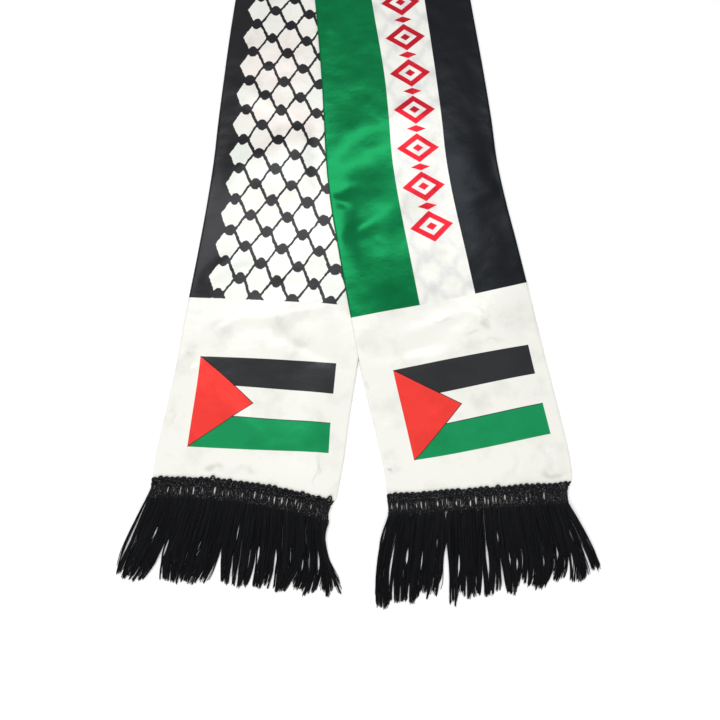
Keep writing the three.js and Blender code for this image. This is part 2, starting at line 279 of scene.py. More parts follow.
def end_shift(side, below, across):
    """How much farther down a point lies, because the stretch's end isn't square."""
    left, middle, right = END_EDGE[side]
    edge = middle + (right - left) / 2 * across + ((right + left) / 2 - middle) * across**2
    return edge * smooth((below - SKEW_START) / (STRETCH_LENGTH - SKEW_START))


def flat_point(side, below, across, level):
    """A point on a stretch's flat part, level above what the stretch lies on, in the row's frame."""
    place = below + end_shift(side, below, across)
    drawn = smooth((below - STRETCH_LENGTH + HEADING_DEPTH + DRAWN_ABOVE) / DRAWN_OVER)
    drawn = drawn * smooth((across - DRAWN_FROM) / DRAWN_WIDTH)
    x = outline_x(OUTLINES[side], place, across) - CORNER_IN[side] * drawn
    z = cover(side, place, x) + level
    return np.stack([x + CENTRE_X, CREST_Y - place, z], axis=-1), place, x


# Distances along each stretch's centre line, and how far it leans there.
STEPS = np.arange(0.0, 700.0, 1.0)
ROW_LEAN = 0.08  # the net side's print runs this much out of square at the left end
LEAN_FROM, LEAN_OVER = 0.35, 0.6  # where that begins and over how much of the stretch it grows


def print_place(side, place, x):
    """Where a point falls in the printed strip: across from the left edge, and down from the fold."""
    centre = read(OUTLINES[side], STEPS, 1)
    slope = np.gradient(centre, STEPS)
    run = np.concatenate([[0.0], np.cumsum(np.hypot(1.0, slope[1:]))])
    lean = np.arctan(np.interp(place, STEPS, slope))
    dx = x - np.interp(place, STEPS, centre)
    down = np.interp(place, STEPS, run) + dx * np.sin(lean) + FOLD_RADIUS * (math.pi / 2 - 1)
    end = np.interp(STRETCH_LENGTH, STEPS, run) + FOLD_RADIUS * (math.pi / 2 - 1)
    return dx * np.cos(lean), down, end


ARC_ROWS = 10  # rows of the mesh from the fold's crest to the flat part
FLAT_ROWS = 258
SEAM_COLUMNS = [0.0, 0.12, 0.45, 0.95, 1.6, 2.5, 3.9]  # distance from the edge
MIDDLE_COLUMNS = 46


def across_columns():
    """The places of the mesh's columns, close together at the seams."""
    edge = 1 - np.array(SEAM_COLUMNS) / HALF_WIDTH
    middle = np.linspace(-edge[-1], edge[-1], MIDDLE_COLUMNS + 1)
    return np.concatenate([-edge[:-1], middle, edge[:-1][::-1]])


def make_face(name, outer):
    """One printed strip, from the left cut end round the fold to the right one."""
    columns = across_columns()
    rows = ARC_ROWS + FLAT_ROWS
    bpy.ops.object.select_all(action="DESELECT")
    bpy.ops.mesh.primitive_grid_add(x_subdivisions=len(columns) - 1, y_subdivisions=2 * rows, size=2.0)
    piece = bpy.context.object
    piece.name = name
    flat = np.empty(len(piece.data.vertices) * 3)
    piece.data.vertices.foreach_get("co", flat)
    flat = flat.reshape(-1, 3)
    column = np.rint((flat[:, 0] + 1) / 2 * (len(columns) - 1)).astype(int)
    row = np.rint((flat[:, 1] + 1) / 2 * 2 * rows).astype(int) - rows
    across = columns[column]
    count = np.abs(row)
    points = np.zeros_like(flat)
    run_u = np.zeros(len(flat))
    run_s = np.zeros(len(flat))
    end_a = np.zeros(len(flat))
    end_e = np.zeros(len(flat))
    seam = np.clip((1 - np.abs(across)) * HALF_WIDTH / SEAM_ROLL, 0, 1)
    for side, which in (("left", row <= 0), ("right", row > 0)):
        upper = outer == (side == "right")
        upward = -1.0 if side == "left" else 1.0
        arc = which & (count <= ARC_ROWS)
        level = which & (count > ARC_ROWS)
        # Round the fold
        turn = count[arc] / ARC_ROWS * math.pi / 2
        roll = 1 - np.sqrt(1 - (1 - seam[arc]) ** 2)
        out = (TUBE_DEPTH / 2) * (1 - roll) * (1 if outer else -1)
        y = (FOLD_RADIUS + out) * np.cos(turn) - FOLD_RADIUS
        x = outline_x(OUTLINES[side], -y, across[arc])
        z = UNDERSIDE + TUBE_DEPTH / 2 + FOLD_RADIUS + upward * (FOLD_RADIUS + out) * np.sin(turn)
        points[arc] = np.stack([x + CENTRE_X, CREST_Y + y, z], axis=-1)
        run_u[arc] = across[arc] * HALF_WIDTH
        run_s[arc] = upward * turn * FOLD_RADIUS
        end_e[arc] = STRETCH_LENGTH
        # The flat part
        below = FOLD_RADIUS + (count[level] - ARC_ROWS) / FLAT_ROWS * (STRETCH_LENGTH - FOLD_RADIUS)
        a = across[level]
        _, place, x = flat_point(side, below, a, 0.0)
        at_end = np.clip((STRETCH_LENGTH - below) / SEAM_ROLL, 0, 1)
        share = np.minimum(seam[level], at_end)
        roll = 1 - np.sqrt(1 - (1 - share) ** 2)
        if upper:
            height = UNDERSIDE + TUBE_DEPTH * (1 - roll / 2) + face_rise(side, below, a, x, place)
        else:
            dents = DENT + DENT * ripple(x, place, DENT_SIZE, DENT_SEED)
            dents = dents * smooth((1 - np.abs(a)) / DENT_EDGE)
            height = UNDERSIDE + TUBE_DEPTH * roll / 2 + dents
        points[level], _, _ = flat_point(side, below, a, height)
        u, down, end = print_place(side, place, x)
        if side == "left":
            down = down + u * ROW_LEAN * smooth((down / end - LEAN_FROM) / LEAN_OVER)
        run_u[level] = a * HALF_WIDTH
        run_s[level] = upward * down
        end_e[level] = end - down
        end_a[level] = a * HALF_WIDTH * (1 if upper else -1)
    piece.data.vertices.foreach_set("co", (points * MM).ravel())
    loops = np.empty(len(piece.data.loops), int)
    piece.data.loops.foreach_get("vertex_index", loops)
    for label, first, second in (("run", run_u, run_s), ("end", end_a, end_e)):
        layer = piece.data.uv_layers.get(label) or piece.data.uv_layers.new(name=label)
        layer.data.foreach_set("uv", (np.stack([first, second], axis=-1)[loops] * MM).ravel())
    for layer in [x for x in piece.data.uv_layers if x.name not in ("run", "end")]:
        piece.data.uv_layers.remove(layer)
    piece.data.update()
    bpy.ops.object.mode_set(mode="EDIT")
    bpy.ops.mesh.select_all(action="SELECT")
    if outer:
        bpy.ops.mesh.flip_normals()
    bpy.ops.object.mode_set(mode="OBJECT")
    wall = piece.modifiers.new("satin", "SOLIDIFY")
    wall.thickness = SATIN_THICK * MM
    wall.offset = -1.0
    bpy.ops.object.modifier_apply(modifier="satin")
    bpy.ops.object.shade_smooth()
    return piece


# Printed polyester satin: dye-sublimated filament yarn, so the colour lies in the thread and even the
# gloss is tinted; a long soft highlight and, on white, a faint grey show-through of the other print.
GREEN, FLAG_GREEN = "0c703f", "1f985c"
BLACK, FLAG_BLACK, NET_BLACK = "202225", "373839", "2c2c2e"
RED, FLAG_RED = "bc1f2e", "f8443d"
WHITE = "ebebe4"
INK_LINE = "2a2a2a"
THROUGH_GREY = "d6d7d5"
THROUGH_SHARE = 0.04  # how much of the striped side's colours shows through the net side's white
# Greys multiplied into the cloth: partly dirt and smudges, partly painted shade of wrinkles and creases
GRIME_AND_WRINKLE_SHADE, SMUDGE_AND_CREASE_SHADE_GREY = "d8d8d3", "8f918d"
CELL_WARM, CELL_COOL = "f1dcda", "dbe6e0"
INK_SOFT, LINE_SOFT = 0.15, 0.2  # half width of an ink's edge
FAR = 500.0  # past any print's reach
TINT_DEEP, TINT_PALE = 0.62, 0.08  # how metallic the gloss is on deep and on pale inks
SATIN_ROUGHNESS, SATIN_SPECULAR = 0.26, 0.06
STRIPE_EDGES = (-15.9, 28.1)  # green | white | black, from the centre line
GREEN_DRIFT = 3.6  # how much narrower the green is near the fold
DRIFT_FROM, DRIFT_TO = 340.0, 230.0  # from the fold
PRINT_END = {"stripe": 163.4, "net": 162.6}  # the run's print stops this far from the cut end
END_LEAN = {"stripe": 0.043, "net": 0.026}  # and this much out of square with it
END_BOW = {"stripe": 1.5, "net": 0.3}  # and this much higher at the seams
NET_PITCH = (14.8, 14.06)  # half repeats across and along
NET_FIRST = -47.4  # the first column of knots, from the centre line
NET_COLUMNS = 8
NET_MARGINS = (0.8, 0.4)  # how far the columns' print reaches before the first and short of the last
NET_WANDER = ((0.05, 2.4), (0.22, 1.5), (0.5, 0.9))  # waves per millimetre, and how far they move it
NET_BLUR = {"stripe": 2.8, "net": 0.2}  # seen through the cloth, or printed on it
KNOT_FROM_END = 2.65
LEFT_END = float(print_place("left", np.array([STRETCH_LENGTH]), np.array([0.0]))[2])
KNOT_ROW = -(LEFT_END - PRINT_END["net"] - KNOT_FROM_END)  # the last row of knots
EDGE_SLOPE = (0.8896, 0.4567, 0.0)  # direction square to a cell's slanting sides
CELL_RISING, CELL_FALLING = 8.53, 8.82  # middle of a cell to its slanting sides
CELL_FLAT = 11.1  # middle of a cell to its top and bottom
CELL_CORNER = 0.7
KNOT_RADIUS, KNOT_NARROW = 5.2, 1.28
MOTIF_PITCH = 36.2
LOZENGE_HALF = (17.5, 13.8)
LOZENGE_RING, LOZENGE_HEART = 0.58, 0.26  # shares of its size: the ring's inside, and the heart
STUD_HALF = (8.0, 3.3)
LOZENGE_SOFT, STUD_SOFT = 0.01, 0.02  # their inked edges, as shares of their size
MOTIF_END = 13.39 * MOTIF_PITCH
FLAG_WIDTH = 105.5
FLAG_BANDS = {"stripe": (24.3, 48.7, 72.3), "net": (22.8, 46.8, 70.9)}  # their lower edges
FLAG_TOP = {"stripe": 115.1, "net": 114.7}  # from the cut end
FLAG_LEFT = {"stripe": -46.2, "net": -52.0}
FLAG_TURN = {"stripe": 0.0, "net": 0.065}  # how much its hoist leans, as a slope
FLAG_RISE = {"stripe": 0.016, "net": 0.0}  # how much it rises to the fly, as a slope
FLAG_HOIST = 45.0  # depth of the triangle
BAND_LINES = ((0.3, 0.25), (0.3, 0.3))  # how far the dark lines reach above and below the bands' edges
HOIST_LINE = (0.4, 0.5)  # and before and past the triangle's
# Soft grey spots on the white ends, partly handling smudges, partly painted shade of creases: across, up
# from the cut end, half width, half height, depth
SMUDGES_AND_CREASE_SHADE = {
    "net": [
        (-24, 31, 9, 4, 0.5), (-63, 67, 3, 9, 0.2), (-50, 138, 20, 7, 0.16), (1, 145, 14, 8, 0.14),
        (23, 127, 12, 6, 0.14), (51, 29, 1.8, 15, 0.34), (-5, 28, 14, 4, 0.32), (-62, 120, 5, 7, 0.15),
    ],
    "stripe": [
        (28, 31, 3, 6, 0.22), (-4, 147, 12, 2.5, 0.3), (31, 141, 3, 8, 0.24), (27, 155, 5, 4, 0.2),
        (36, 125, 8, 2.5, 0.22), (17, 132, 10, 2.5, 0.16), (55, 22, 12, 3, 0.22), (48, 35, 5, 4, 0.15),
        (-67, 37, 2.5, 3, 0.4), (-68, 77, 2.5, 4, 0.3), (-70, 107, 2.5, 4, 0.3), (60, 34, 7, 3, 0.18),
    ],
}


def between(tree, value, low, high, soft=INK_SOFT):
    """1 where a value in millimetres lies between two limits, with a softly inked edge."""
    up = add(tree, "ShaderNodeMapRange", {0: value, 1: low - soft, 2: low + soft})
    down = add(tree, "ShaderNodeMapRange", {0: value, 1: high - soft, 2: high + soft, 3: 1.0, 4: 0.0})
    return add(tree, "ShaderNodeMath", {0: up, 1: down}, operation="MULTIPLY")


def print_inks(tree, ground, inks):
    """Prints inks over a ground, one after another, each through its own mask."""
    for mask, ink in inks:
        ground = add(tree, "ShaderNodeMix", {0: mask, 6: ground, 7: ink}, out=2, data_type="RGBA")
    return ground


def strip_axes(tree, name):
    """A printed strip's place in millimetres, and its two directions."""
    uv = add(tree, "ShaderNodeUVMap", uv_map=name)
    place = add(tree, "ShaderNodeVectorMath", {0: uv, 3: 1000.0}, operation="SCALE")
    across = add(tree, "ShaderNodeSeparateXYZ", {0: place}, out=0)
    along = add(tree, "ShaderNodeSeparateXYZ", {0: place}, out=1)
    return place, across, along


def wandering(tree, place, scale, reach):
    """The same place, moved about a little by a smooth noise."""
    by = add(tree, "ShaderNodeTexNoise", {"Vector": place, "Scale": scale, "Detail": 1.0}, out=1)
    by = add(tree, "ShaderNodeVectorMath", {0: by, 1: (0.5, 0.5, 0.5)}, operation="SUBTRACT")
    by = add(tree, "ShaderNodeVectorMath", {0: by, 3: reach}, operation="SCALE")
    return add(tree, "ShaderNodeVectorMath", {0: place, 1: by}, operation="ADD")


def net_cells(tree, run, soft):
    """1 in the white cells of the net: tall hexagons bitten by the knots above and below."""
    for scale, reach in NET_WANDER:
        run = wandering(tree, run, scale, reach)
    px, py = NET_PITCH
    cells = []
    for column in (0, 1):
        start = (NET_FIRST + column * px, KNOT_ROW + (1 - column) * py, 0.0)
        moved = add(tree, "ShaderNodeVectorMath", {0: run, 1: start}, operation="SUBTRACT")
        repeat = {0: moved, 1: (px, py, 1.0), 2: (-px, -py, -1.0)}
        local = add(tree, "ShaderNodeVectorMath", repeat, operation="WRAP")
        folded = add(tree, "ShaderNodeVectorMath", {0: local}, operation="ABSOLUTE")
        height = add(tree, "ShaderNodeSeparateXYZ", {0: folded}, out=1)
        edge = add(tree, "ShaderNodeMath", {0: height, 1: CELL_FLAT}, operation="SUBTRACT")
        for turn, reach in ((1, CELL_RISING), (-1, CELL_FALLING)):
            slope = (EDGE_SLOPE[0], EDGE_SLOPE[1] * turn, 0.0)
            side = add(tree, "ShaderNodeVectorMath", {0: local, 1: slope}, out=1, operation="DOT_PRODUCT")
            side = add(tree, "ShaderNodeMath", {0: side}, operation="ABSOLUTE")
            side = add(tree, "ShaderNodeMath", {0: side, 1: reach}, operation="SUBTRACT")
            edge = add(tree, "ShaderNodeMath", {0: edge, 1: side, 2: CELL_CORNER}, operation="SMOOTH_MAX")
        knot = add(tree, "ShaderNodeVectorMath", {0: folded, 1: (0.0, py, 0.0)}, operation="SUBTRACT")
        squeeze = (KNOT_NARROW, 1.0, 0.0)
        knot = add(tree, "ShaderNodeVectorMath", {0: knot, 1: squeeze}, operation="MULTIPLY")
        knot = add(tree, "ShaderNodeVectorMath", {0: knot}, out=1, operation="LENGTH")
        knot = add(tree, "ShaderNodeMath", {0: KNOT_RADIUS, 1: knot}, operation="SUBTRACT")
        edge = add(tree, "ShaderNodeMath", {0: edge, 1: knot}, operation="MAXIMUM")
        inside = add(tree, "ShaderNodeMapRange", {0: edge, 1: -soft, 2: soft, 3: 1.0, 4: 0.0})
        first = NET_FIRST + (column - NET_MARGINS[0]) * px
        last = first + (NET_COLUMNS - NET_MARGINS[1]) * px
        kept = between(tree, add(tree, "ShaderNodeSeparateXYZ", {0: run}, out=0), first, last)
        cells.append(add(tree, "ShaderNodeMath", {0: inside, 1: kept}, operation="MULTIPLY"))
    return add(tree, "ShaderNodeMath", {0: cells[0], 1: cells[1]}, operation="MAXIMUM")


def motif_chain(tree, across, along):
    """1 in the chain of hollow lozenges, each with a heart, and the studs between them."""
    middle = (STRIPE_EDGES[0] + STRIPE_EDGES[1]) / 2
    half = MOTIF_PITCH / 2
    side = add(tree, "ShaderNodeMath", {0: across, 1: middle}, operation="SUBTRACT")
    side = add(tree, "ShaderNodeMath", {0: side}, operation="ABSOLUTE")
    step = add(tree, "ShaderNodeMath", {0: along, 1: half, 2: -half}, operation="WRAP")
    step = add(tree, "ShaderNodeMath", {0: step}, operation="ABSOLUTE")
    place = add(tree, "ShaderNodeCombineXYZ", {0: side, 1: step})
    reach = (1 / LOZENGE_HALF[0], 1 / LOZENGE_HALF[1], 0.0)
    lozenge = add(tree, "ShaderNodeVectorMath", {0: place, 1: reach}, out=1, operation="DOT_PRODUCT")
    ring = between(tree, lozenge, LOZENGE_RING, 1.0, LOZENGE_SOFT)
    heart = between(tree, lozenge, -1.0, LOZENGE_HEART, LOZENGE_SOFT)
    place = add(tree, "ShaderNodeVectorMath", {0: place, 1: (0.0, half, 0.0)}, operation="SUBTRACT")
    place = add(tree, "ShaderNodeVectorMath", {0: place}, operation="ABSOLUTE")
    reach = (1 / STUD_HALF[0], 1 / STUD_HALF[1], 0.0)
    stud = add(tree, "ShaderNodeVectorMath", {0: place, 1: reach}, out=1, operation="DOT_PRODUCT")
    stud = between(tree, stud, -1.0, 1.0, STUD_SOFT)
    chain = add(tree, "ShaderNodeMath", {0: ring, 1: heart}, operation="MAXIMUM")
    chain = add(tree, "ShaderNodeMath", {0: chain, 1: stud}, operation="MAXIMUM")
    kept = between(tree, along, -MOTIF_END, MOTIF_END)
    return add(tree, "ShaderNodeMath", {0: chain, 1: kept}, operation="MULTIPLY")


def flag_panel(tree, across, height, face):
    """A flag on white: three bands and a hoist triangle, with a thin dark line where inks meet."""
    first, second, depth = FLAG_BANDS[face]
    level = {0: across, 1: FLAG_RISE[face], 2: FLAG_TOP[face] - FLAG_LEFT[face] * FLAG_RISE[face]}
    level = add(tree, "ShaderNodeMath", level, operation="MULTIPLY_ADD")
    down = add(tree, "ShaderNodeMath", {0: level, 1: height}, operation="SUBTRACT")
    turned = add(tree, "ShaderNodeMath", {0: down, 1: FLAG_TURN[face]}, operation="MULTIPLY")
    right = add(tree, "ShaderNodeMath", {0: across, 1: turned}, operation="SUBTRACT")
    right = add(tree, "ShaderNodeMath", {0: right, 1: FLAG_LEFT[face]}, operation="SUBTRACT")
    slope = add(tree, "ShaderNodeMath", {0: down, 1: depth / 2}, operation="SUBTRACT")
    slope = add(tree, "ShaderNodeMath", {0: slope}, operation="ABSOLUTE")
    slope = {0: slope, 1: 2 * FLAG_HOIST / depth, 2: right}
    slope = add(tree, "ShaderNodeMath", slope, operation="MULTIPLY_ADD")
    on_flag = between(tree, right, 0.0, FLAG_WIDTH)
    inks = []
    for value, low, high, soft, ink in (
        (down, 0.0, first, INK_SOFT, FLAG_BLACK),
        (down, second, depth, INK_SOFT, FLAG_GREEN),
        (down, first - BAND_LINES[0][0], first + BAND_LINES[0][1], LINE_SOFT, INK_LINE),
        (down, second - BAND_LINES[1][0], second + BAND_LINES[1][1], LINE_SOFT, INK_LINE),
        (slope, -FAR, FLAG_HOIST, INK_SOFT, FLAG_RED),
        (slope, FLAG_HOIST - HOIST_LINE[0], FLAG_HOIST + HOIST_LINE[1], LINE_SOFT, INK_LINE),
    ):
        mask = between(tree, value, low, high, soft)
        inks.append((add(tree, "ShaderNodeMath", {0: mask, 1: on_flag}, operation="MULTIPLY"), srgb(ink)))
    return print_inks(tree, srgb(WHITE), inks)


def soiling_and_painted_shade(tree, end, run, smudges_and_crease_shade):
    """How grey the cloth is: faint grey clouds and soft grey spots on its ends, partly dirt and smudges,
    partly painted shade of wrinkles and creases.
    """
    cloudy = {"Vector": run, "Scale": 0.035, "Detail": 4.0, "Roughness": 0.6}
    grime_and_wrinkle_shade = add(tree, "ShaderNodeTexNoise", cloudy)  # clouds about 30 mm wide
    patchy = add(tree, "ShaderNodeMapRange", {0: grime_and_wrinkle_shade, 1: 0.35, 2: 0.6})
    grime_and_wrinkle_shade = add(tree, "ShaderNodeMapRange", {0: grime_and_wrinkle_shade, 1: 0.5, 2: 0.75, 3: 0.0, 4: 0.5})
    end = wandering(tree, end, 0.08, 14.0)
    total = 0.0
    for across, up, half_width, half_height, depth in smudges_and_crease_shade:
        place = add(tree, "ShaderNodeVectorMath", {0: end, 1: (across, up, 0.0)}, operation="SUBTRACT")
        shrink = (1 / half_width, 1 / half_height, 0.0)
        place = add(tree, "ShaderNodeVectorMath", {0: place, 1: shrink}, operation="MULTIPLY")
        place = add(tree, "ShaderNodeVectorMath", {0: place}, out=1, operation="LENGTH")
        smudge_and_shade_mark = {0: place, 1: 0.1, 2: 1.3, 3: depth, 4: 0.0}
        smudge_and_shade_mark = add(tree, "ShaderNodeMapRange", smudge_and_shade_mark, interpolation_type="SMOOTHSTEP")
        total = add(tree, "ShaderNodeMath", {0: total, 1: smudge_and_shade_mark}, operation="MAXIMUM")
    return grime_and_wrinkle_shade, add(tree, "ShaderNodeMath", {0: total, 1: patchy}, operation="MULTIPLY")


def satin_material(name, face):
    """Printed satin, for the striped or the net side."""
    made, tree = new_material(name)
    run, across, along = strip_axes(tree, "run")
    end, end_across, height = strip_axes(tree, "end")
    # The print of the run, with the other side's print showing faintly through white cloth
    chain = motif_chain(tree, across, along)
    cells = net_cells(tree, run, NET_BLUR[face])
    drift = add(tree, "ShaderNodeMath", {0: along}, operation="ABSOLUTE")
    drift = {0: drift, 1: DRIFT_TO, 2: DRIFT_FROM, 3: GREEN_DRIFT, 4: 0.0}
    drift = add(tree, "ShaderNodeMapRange", drift, interpolation_type="SMOOTHSTEP")
    drift = add(tree, "ShaderNodeMath", {0: drift, 1: across}, operation="ADD")
    past_green = between(tree, drift, STRIPE_EDGES[0], FAR)
    black_band = between(tree, across, STRIPE_EDGES[1], FAR)
    if face == "stripe":
        cloth = print_inks(tree, srgb(THROUGH_GREY), [(cells, srgb(WHITE))])
        running = [(past_green, cloth), (black_band, srgb(BLACK)), (chain, srgb(RED))]
        running = print_inks(tree, srgb(GREEN), running)
    else:
        through = [(past_green, srgb(WHITE)), (black_band, srgb(BLACK)), (chain, srgb(RED))]
        through = print_inks(tree, srgb(GREEN), through)
        cast = add(tree, "ShaderNodeTexNoise", {"Vector": run, "Scale": 0.018, "Detail": 2.0})
        warm = add(tree, "ShaderNodeMapRange", {0: cast, 1: 0.48, 2: 0.62, 3: 0.0, 4: 0.4})
        cool = add(tree, "ShaderNodeMapRange", {0: cast, 1: 0.36, 2: 0.5, 3: 0.4, 4: 0.0})
        cloth = [(THROUGH_SHARE, through), (warm, srgb(CELL_WARM)), (cool, srgb(CELL_COOL))]
        cloth = print_inks(tree, srgb(WHITE), cloth)
        running = print_inks(tree, srgb(NET_BLACK), [(cells, cloth)])
    # The white end with its flag
    edge = {0: end_across, 1: END_BOW[face] / HALF_WIDTH**2, 2: END_LEAN[face]}
    edge = add(tree, "ShaderNodeMath", edge, operation="MULTIPLY_ADD")
    edge = {0: edge, 1: end_across, 2: PRINT_END[face]}
    edge = add(tree, "ShaderNodeMath", edge, operation="MULTIPLY_ADD")
    above = add(tree, "ShaderNodeMath", {0: height, 1: edge}, operation="SUBTRACT")
    on_end = between(tree, above, -FAR, 0.0)
    colour = print_inks(tree, running, [(on_end, flag_panel(tree, end_across, height, face))])
    # Painted shade of wrinkles and creases, with some dirt and smudges: faint grey clouds and spots
    # multiplied into the colour
    for mask, tone in zip(soiling_and_painted_shade(tree, end, run, SMUDGES_AND_CREASE_SHADE[face]), (GRIME_AND_WRINKLE_SHADE, SMUDGE_AND_CREASE_SHADE_GREY)):
        soiled_and_shaded = {0: mask, 6: colour, 7: srgb(tone)}
        colour = add(tree, "ShaderNodeMix", soiled_and_shaded, out=2, data_type="RGBA", blend_type="MULTIPLY")
    # Filament gloss: tinted by the dye, so strongest on inked cloth. The threads are drawn about
    # 0.4 mm apart, coarser than the real ones so that they show, over soft crumples of about 12 mm.
    light = add(tree, "ShaderNodeRGBToBW", {0: colour})
    tinted = add(tree, "ShaderNodeMapRange", {0: light, 1: 0.05, 2: 0.75, 3: TINT_DEEP, 4: TINT_PALE})
    weave = add(tree, "ShaderNodeVectorMath", {0: run, 1: (2.4, 0.35, 1.0)}, operation="MULTIPLY")
    threads = add(tree, "ShaderNodeTexNoise", {"Vector": weave, "Scale": 1.0, "Detail": 2.0})
    crumple = {"Vector": run, "Scale": 0.085, "Detail": 3.0, "Roughness": 0.55}
    crumple = add(tree, "ShaderNodeTexNoise", crumple)
    bump = add(tree, "ShaderNodeBump", {"Strength": 0.12, "Distance": 0.0016, "Height": crumple})
    fine = {"Strength": 0.12, "Distance": 0.0002, "Height": threads, "Normal": bump}
    bump = add(tree, "ShaderNodeBump", fine)
    satin = {"Base Color": colour, "Metallic": tinted, "Roughness": SATIN_ROUGHNESS}
    satin |= {"Specular IOR Level": SATIN_SPECULAR, "Normal": bump}
    shader = add(tree, "ShaderNodeBsdfPrincipled", satin)
    add(tree, "ShaderNodeOutputMaterial", {"Surface": shader})
    return made


stripe_face = make_face("stripe_face", outer=True)
stripe_face.data.materials.append(satin_material("printed_satin_stripes", "stripe"))
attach(stripe_face, "root")
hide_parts("left_stretch_stripe_face", "right_stretch_stripe_face")

net_face = make_face("net_face", outer=False)
net_face.data.materials.append(satin_material("printed_satin_net", "net"))
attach(net_face, "root")
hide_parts("left_stretch_net_face", "right_stretch_net_face")

# ---------------------------------------------------------------------------------------------------
# Crocheted headings. Black acrylic yarn worked into a dense braid: small filled picots along the top,
# a plaited chain under them, a row of close bars that part here and there in narrow slits, and a
# lower chain that carries the fringe. Each is stitched on top of the cloth's end.
# The last of these colours is a painted highlight: the light grey of glint specks mixed into the yarn's
# colour
YARN_BLACK, YARN_SHADE, YARN_LIGHT, YARN_PAINTED_GLINT = "090a0e", "050609", "15171e", "a3a098"
CROCHET_LIGHT = "202228"
# how strongly the painted glint specks show on the crochet yarn
CROCHET_PAINTED_GLINT = 0.6
YARN_SIDES = 6
HEADING_SPAN = {"left": (-70.0, 69.8), "right": (-70.2, 69.8)}  # from the stretch's centre line
HEADING_STEP = 0.55  # distance between a yarn's points
HEADING_DRIFT = (0.4, 19.0, 0.3)  # how far its rows wander, over what length, step of the seed
HEADING_SWELL = (0.2, 9.0, 0.6)  # how much the plait's width varies, likewise
PLAIT_PERIOD, PLAIT_SWING, PLAIT_RADIUS = 8.6, 2.0, 0.63
PLAIT_ROWS = (1.6, 3.5, 5.4)  # the straight yarns under it, below the heading's top edge
PLAIT_LEVEL, PLAIT_RISE = 0.5, (1.1, 0.5)  # above the cloth: straight yarns; plaited, and its waves
PICOT_PITCH, PICOT_ROOT, PICOT_RADIUS = 4.3, 1.2, 0.6
PICOT_SIZES, PICOT_HEIGHTS = (0.4, 1.15), (1.75, 0.75)
PICOT_ROUND, PICOT_RISE = 0.7, (0.75, 0.25)
BAR_PITCH, BAR_RADIUS, BAR_STRAY, BAR_POINTS = 1.02, 0.56, 0.3, 9
BAR_THICK, BAR_WAIST = (0.9, 1.15), (0.95, 0.4)  # shares of the radius: each bar's, and along it
BAR_RISE = (0.7, 0.2)
BARS_FROM, BARS_TO, BAR_ENDS = 5.4, 13.6, (0.5, 0.4)
LOWER_CHAIN, LOWER_PERIOD, LOWER_SWING, LOWER_RADIUS = 14.3, 5.7, 0.8, 0.56
LOWER_DRIFT, LOWER_RISE = 0.6, (1.2, 0.45)
SPLAY = {"left": -0.34, "right": -0.06}  # how the left corner spreads, as a slope
SPLAY_FROM, SPLAY_EDGE, SPLAY_OVER = 8.0, 0.6, 0.4
BIG_LOOPS = {"left": [(-0.37, 1.9), (0.95, 2.0)], "right": [(0.2, 1.4)]}  # place -1 to 1, size
HEADING_MIDDLE = {"left": -1.7, "right": -1.2}
SLIT_SHARE = 0.8  # a slit's open width as a share of its pull
SLIT_START, SLIT_END = (-0.2, 0.3), (0.6, 1.1)  # where it opens and closes, as shares of the bars
SLITS = {  # open slits between the bars: place from the heading's middle, pull
    "left": [
        (-55.5, 1.0), (-50.8, 0.5), (-46.1, 0.4), (-40.9, 1.2), (-36.2, 1.0), (-29.8, 0.5),
        (-20.4, 1.4), (-14.6, 0.4), (-9.9, 0.5), (-4.1, 0.5), (0.6, 0.9), (9.9, 1.2), (15.2, 0.8),
        (21.0, 0.5), (25.1, 0.8), (30.9, 1.2), (35.0, 0.4), (38.5, 0.4), (41.4, 0.7), (43.8, 0.6),
        (46.1, 0.6), (53.7, 1.2), (65.4, 1.3),
    ],
    "right": [
        (-66.3, 0.9), (-62.0, 1.0), (-58.5, 0.4), (-55.0, 0.4), (-51.6, 0.4), (-47.5, 0.7),
        (-44.0, 0.4), (-40.6, 0.4), (-31.4, 1.3), (-27.9, 0.8), (-24.5, 0.7), (-17.5, 1.4),
        (-14.1, 0.6), (-6.6, 1.4), (-2.5, 1.2), (4.2, 0.9), (6.7, 0.7), (10.2, 0.7), (12.5, 0.8),
        (19.4, 1.4), (24.6, 0.4), (28.6, 0.4), (32.1, 0.4), (35.5, 0.7), (38.4, 0.7), (43.0, 0.4),
        (48.8, 0.9),
    ],
}


def tube_skin(paths, radii, sides):
    """Closed tubes round many paths at once. paths: tubes x points x 3; radii: tubes x points."""
    along = np.gradient(paths, axis=1)
    along /= np.linalg.norm(along, axis=2, keepdims=True)
    side = np.cross(along, np.array([0.0, 0.0, 1.0]))
    side /= np.maximum(np.linalg.norm(side, axis=2, keepdims=True), 1e-6)
    up = np.cross(side, along)
    turn = np.arange(sides) / sides * 2 * math.pi + math.pi / 2
    ring = side[:, :, None] * np.cos(turn)[:, None] + up[:, :, None] * np.sin(turn)[:, None]
    points = paths[:, :, None] + ring * radii[:, :, None, None]
    tubes, count = paths.shape[:2]
    base = (np.arange(tubes) * count * sides)[:, None, None]
    row = (np.arange(count - 1) * sides)[None, :, None]
    one = np.arange(sides)[None, None, :]
    two = (one + 1) % sides
    here, ahead = base + row, base + row + sides
    quads = np.stack([here + one, here + two, ahead + two, ahead + one], -1)
    first = base[:, 0] + np.arange(sides)[None, ::-1]
    last = base[:, 0] + (count - 1) * sides + np.arange(sides)[None]
    return points.reshape(-1, 3), quads.reshape(-1, 4).tolist() + first.tolist() + last.tolist()


